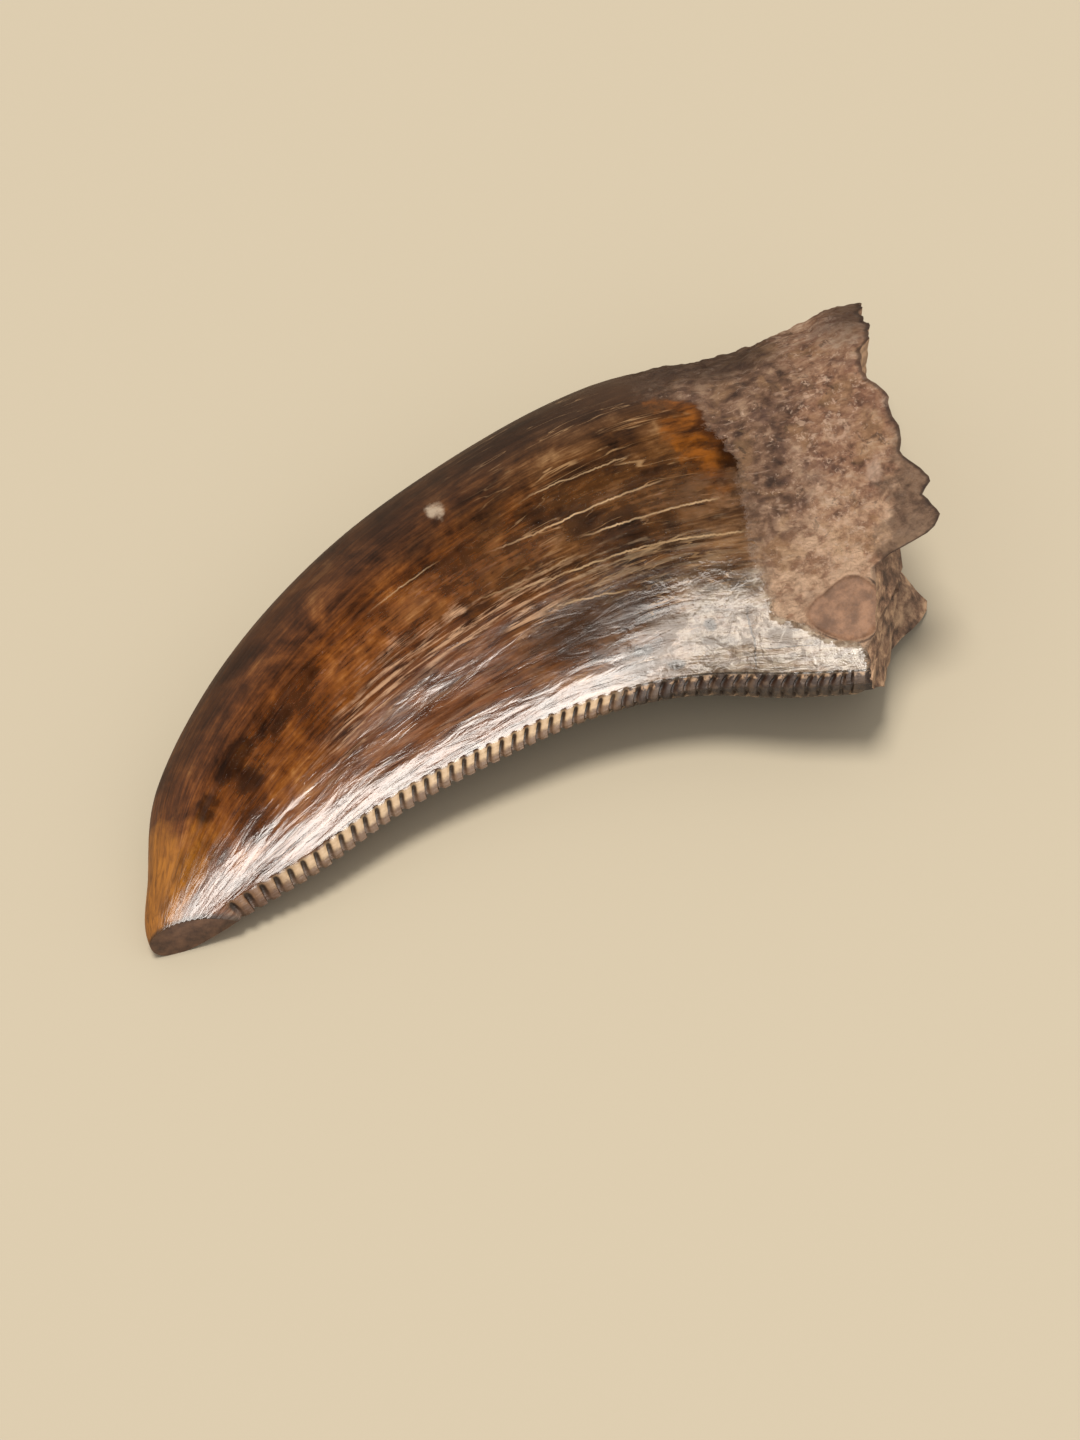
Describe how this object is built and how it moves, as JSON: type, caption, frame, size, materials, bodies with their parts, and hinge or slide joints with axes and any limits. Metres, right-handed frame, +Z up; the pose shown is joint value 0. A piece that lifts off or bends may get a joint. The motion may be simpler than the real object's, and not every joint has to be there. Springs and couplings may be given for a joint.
{
  "type": "fossil theropod tooth",
  "caption": "Curved, blade-like fossil tooth with a serrated edge, a worn tip and the broken stub of its root, lying on one side as a display or set-dressing piece.",
  "frame": {"origin": "centre of the bounding box in plan, at the height of the flat patch it lies on", "axes": "+X from the tip to the broken root, +Y towards the convex mesial edge, +Z up through the labial face"},
  "size_m": [0.038, 0.0182, 0.0087],
  "materials": {
    "tooth": "fossil enamel: glossy dark brown, amber at the tip, with a matte grey-brown root"
  },
  "bodies": {
    "root": {"tooth": "tooth"}
  },
  "joints": []
}
